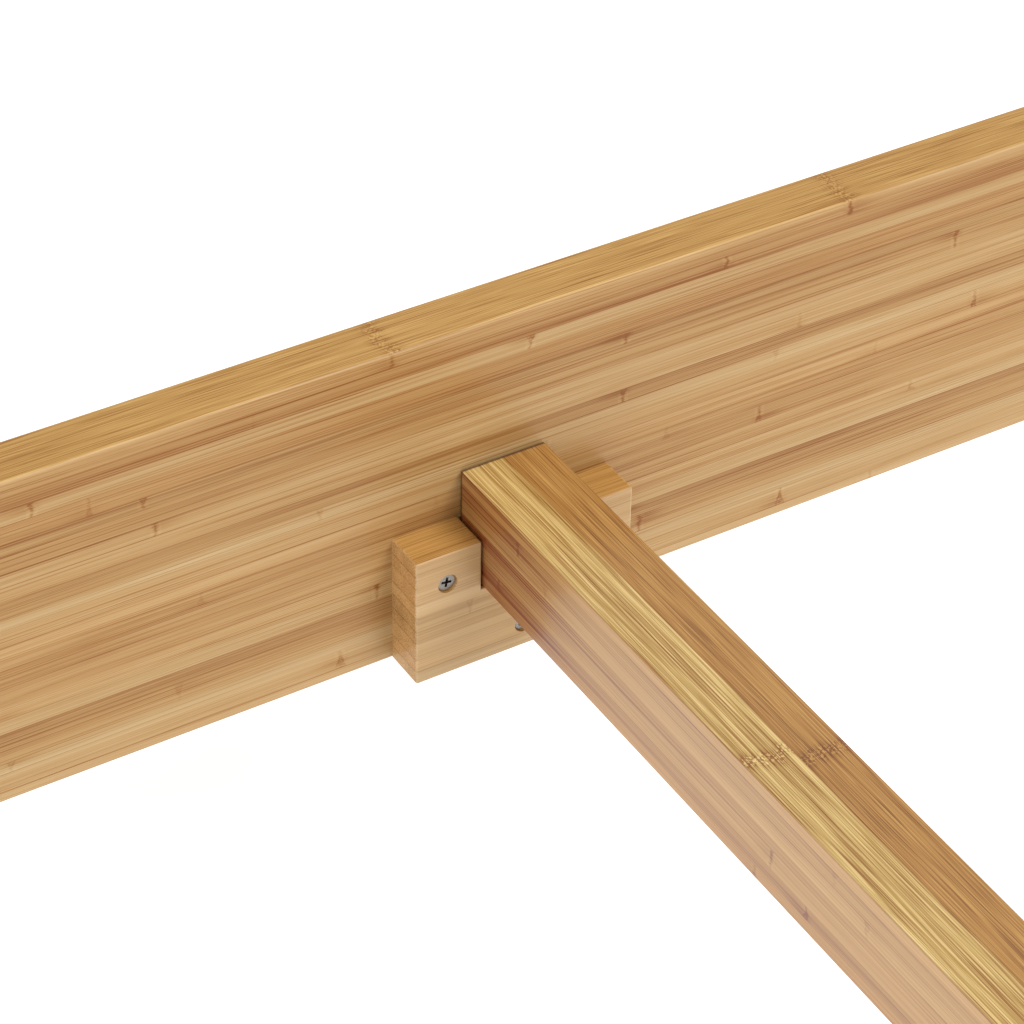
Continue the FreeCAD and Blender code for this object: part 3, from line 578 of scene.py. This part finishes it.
def thread(form, centre, low, high):
    """A screw thread: rows of points wind up a rod, by turns on the root and on the crest."""
    radii = (THREAD_ROOT, THREAD_ROOT, THREAD_CREST, THREAD_CREST)
    steps = len(radii)
    rows = (int((high - low) / THREAD_PITCH) - 1) * steps
    lines = []
    for row in range(rows + 1):
        line = []
        for column in range(ROUND_STEPS):
            angle = math.tau * column / ROUND_STEPS
            height = low + (row / steps + column / ROUND_STEPS) * THREAD_PITCH
            line.append(point(form, centre, radii[row % steps], angle, height))
        lines.append(line)
    for row in range(rows):
        for column in range(ROUND_STEPS - 1):
            form.faces.new((lines[row][column], lines[row][column + 1],
                            lines[row + 1][column + 1], lines[row + 1][column]))
    for row in range(rows - steps):
        form.faces.new((lines[row][-1], lines[row + steps][0],
                        lines[row + steps + 1][0], lines[row + 1][-1]))
    close_thread(form, centre, lines[0] + [line[0] for line in lines[steps:0:-1]])
    close_thread(form, centre, lines[-1] + [line[-1] for line in lines[-2:-2 - steps:-1]])


def close_thread(form, centre, rim):
    """Close one end of a thread with a fan from its rim to a point on the axis, half a turn up."""
    height = (rim[0].co.z + rim[ROUND_STEPS - 1].co.z) / 2
    tip = form.verts.new((centre.x, centre.y, height))
    for first, second in zip(rim, rim[1:] + rim[:1]):
        form.faces.new((tip, first, second))


def paint(node, material):
    """Give a carried-over CAD node its material."""
    data = frame["nodes"][node].data
    data.materials.clear()
    data.materials.append(material)


# ---- the bed --------------------------------------------------------------------------------------

RAIL_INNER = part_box("end_rail_rear")[0].y
BEAM_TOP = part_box("centre_beam")[1].z


def rail_look(wood):
    return wood.finish(RAIL_EDGE, (RAIL_FACE,), contrast=0.9, face_contrast=1.5)


def make_rails():
    for seed, end in zip((9.0, 2.0), ENDS):
        node = f"end_rail_{end}"
        wood = Bamboo(f"bamboo_{node}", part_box(node), "XZY", top_nodes=RAIL_TOP_NODE, seed=seed)
        board(f"{node}_board", node, RAIL_ROUND, "frame", rail_look(wood))
    for seed, side in enumerate(SIDES):
        node = f"side_rail_{side}"
        wood = Bamboo(f"bamboo_{node}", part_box(node), "YZX", top_nodes=0.03 + 0.1 * seed,
                      seed=20.0 + seed)
        board(f"{node}_board", node, RAIL_ROUND, "frame", rail_look(wood))


def make_beam():
    wood = Bamboo("bamboo_beam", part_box("centre_beam"), "YZX", strips=2,
                  top_nodes=RAIL_INNER - BEAM_NODE_BEFORE_RAIL, node_step=BEAM_NODE_STEP, seed=8.0)
    # The beam gets painted shade near its ends, and a painted gap line along them.
    look = wood.finish(BEAM_EDGE, (STRAW_FACE, BROWN_FACE), contrast=0.65, face_contrast=1.35,
                       gloss=0.65, painted_end_shade=0.42)
    board("centre_beam_bar", "centre_beam", BEAM_ROUND, "centre_beam", look)


def make_ledges():
    for seed, side in enumerate(SIDES):
        node = f"slat_ledge_{side}"
        wood = Bamboo(f"bamboo_{node}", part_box(node), "YZX", top_nodes=0.06 * seed, seed=40.0 + seed)
        paint(node, wood.finish(RAIL_EDGE, (STRAW_FACE,)))


def make_cradles():
    for seed, end in enumerate(ENDS):
        node = f"beam_cradle_{end}"
        wood = Bamboo(f"bamboo_{node}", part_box(node), "XZY", top_nodes=0.1, seed=63.0 + seed)
        paint(node, wood.finish(BLOCK_EDGE, (BLOCK_FACE,), contrast=0.5))


def make_legs():
    legs = [f"corner_leg_{corner}" for corner in CORNERS] + [f"centre_leg_{end}" for end in ENDS]
    for seed, node in enumerate(legs):
        wood = Bamboo(f"bamboo_{node}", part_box(node), "ZXY", strips=3, top_nodes=0.08, node_step=0.05,
                      seed=80.0 + seed)
        paint(node, wood.finish(RAIL_EDGE, (RAIL_FACE, BROWN_FACE)))


def make_hardware():
    screw = steel("screw_steel", (0.30, 0.285, 0.265), 0.42)
    bolt = steel("bolt_steel", (0.62, 0.62, 0.63), 0.34)
    insert = steel("insert_zinc", (0.50, 0.50, 0.49), 0.5)
    glide = plastic("glide_plastic", (0.045, 0.028, 0.018), 0.5)
    foot = plastic("foot_plastic", (0.018, 0.018, 0.018), 0.5)
    peg = Bamboo("dowel_beech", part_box("corner_dowels_rear_left"), "YZX", seed=95.0)
    dowel = peg.finish(BLOCK_EDGE, (STRAW_FACE,))
    looks = {
        "screw_steel": screw,
        "bolt_steel": bolt,
        "insert_zinc": insert,
        "glide_plastic": glide,
        "foot_plastic": foot,
        "dowel_beech": dowel,
    }
    for part in frame["record"]["subparts"]:
        if part["material_slot"] in looks:
            paint(part["node"], looks[part["material_slot"]])
    make_stems(bolt)


def make_stems(material):
    """The levelling feet's stems: a pivot, a hexagon collar and a threaded rod."""
    for end in ENDS:
        node = f"foot_stem_{end}"
        low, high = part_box(node)
        centre = (low + high) / 2
        collar_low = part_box(f"foot_pad_{end}")[1].z + COLLAR_GAP
        collar_high = collar_low + COLLAR_HEIGHT
        corner = (high.x - low.x) / 2
        flat = (high.y - low.y) / 2
        pivot = (
            (THREAD_CREST - PIVOT_TAPER, low.z),
            (THREAD_CREST, low.z + PIVOT_TAPER),
            (THREAD_CREST, collar_low),
        )
        collar = (
            (flat, collar_low),
            (corner, collar_low + COLLAR_CHAMFER),
            (corner, collar_high - COLLAR_CHAMFER),
            (flat, collar_high),
        )
        core = ((THREAD_CORE, collar_high), (THREAD_CORE, high.z))
        form = bmesh.new()
        for outline, count in ((pivot, ROUND_STEPS), (collar, HEXAGON), (core, ROUND_STEPS)):
            turned_solid(form, [ring(form, radius, height, count, centre) for radius, height in outline])
        thread(form, centre, collar_high, high.z)
        new_piece(f"threaded_stem_{end}", form, f"foot_stem_{end}", node, material)


# ---- stage, light and camera ------------------------------------------------------------------------

def make_floor():
    """A wide, plain, white floor that is lit from below like a light table, with far-off white walls."""
    mesh = bpy.data.meshes.new("floor")
    signs = ((-1, -1), (1, -1), (1, 1), (-1, 1))
    heights = (0.0, WALL_HEIGHT)
    corners = [(x * FLOOR_HALF, y * FLOOR_HALF, height) for height in heights for x, y in signs]
    walls = [(side, side + 4, (side + 1) % 4 + 4, (side + 1) % 4) for side in range(4)]
    mesh.from_pydata(corners, [], [(0, 1, 2, 3)] + walls)
    floor = bpy.data.objects.new("floor", mesh)
    bpy.context.scene.collection.objects.link(floor)
    tree = Tree("floor_paint")
    mottle = tree.noise(tree.place(), scale=3.0)
    tree.join(tree.ramp(mottle, *zip((0.0, 1.0), FLOOR_PAINT)), tree.shader.inputs["Base Color"])
    tree.shader.inputs["Roughness"].default_value = 0.9
    tree.shader.inputs["Emission Color"].default_value = (*WHITE, 1.0)
    tree.shader.inputs["Emission Strength"].default_value = FLOOR_GLOW
    mesh.materials.append(tree.material)


def area_light(name, place, aim, power, colour=WHITE):
    """A large soft disk of light that isn't seen itself."""
    data = bpy.data.lights.new(name, "AREA")
    data.shape = "DISK"
    data.size = LIGHT_SIZE
    data.energy = power
    data.color = colour
    light = bpy.data.objects.new(name, data)
    light.location = place
    light.rotation_mode = "QUATERNION"
    light.rotation_quaternion = (Vector(aim) - Vector(place)).to_track_quat("-Z", "Y")
    light.visible_camera = False
    bpy.context.scene.collection.objects.link(light)


def make_light():
    world = bpy.data.worlds.new("studio")
    world.use_nodes = True
    sky = world.node_tree.nodes["Background"]
    sky.inputs["Color"].default_value = (*WHITE, 1.0)
    sky.inputs["Strength"].default_value = SKY
    bpy.context.scene.world = world
    joint = (0.0, RAIL_INNER, BEAM_TOP)
    area_light("key", KEY_PLACE, joint, KEY_POWER, KEY_COLOUR)
    area_light("fill", FILL_PLACE, joint, FILL_POWER)


def make_camera():
    """The photograph's viewpoint, set by where it looks, from which direction and how far off."""
    aim = Vector((-AIM_LEFT_OF_BEAM, RAIL_INNER - AIM_BEFORE_RAIL, BEAM_TOP))
    level = Vector((math.sin(CAMERA_AZIMUTH), math.cos(CAMERA_AZIMUTH), 0.0))
    ahead = level * math.cos(CAMERA_ELEVATION) - Vector((0.0, 0.0, math.sin(CAMERA_ELEVATION)))
    data = bpy.data.cameras.new("camera")
    data.lens = CAMERA_LENS
    data.sensor_width = SENSOR_WIDTH
    camera = bpy.data.objects.new("camera", data)
    upright = ahead.to_track_quat("-Z", "Y").to_matrix()
    turned = upright @ Matrix.Rotation(CAMERA_ROLL, 3, "Z")
    camera.matrix_world = Matrix.Translation(aim - ahead * CAMERA_DISTANCE) @ turned.to_4x4()
    bpy.context.scene.collection.objects.link(camera)
    bpy.context.scene.camera = camera


make_rails()
make_beam()
make_ledges()
make_cradles()
make_legs()
make_hardware()
make_floor()
make_light()
make_camera()

scene = bpy.context.scene
scene.view_settings.view_transform = "Standard"
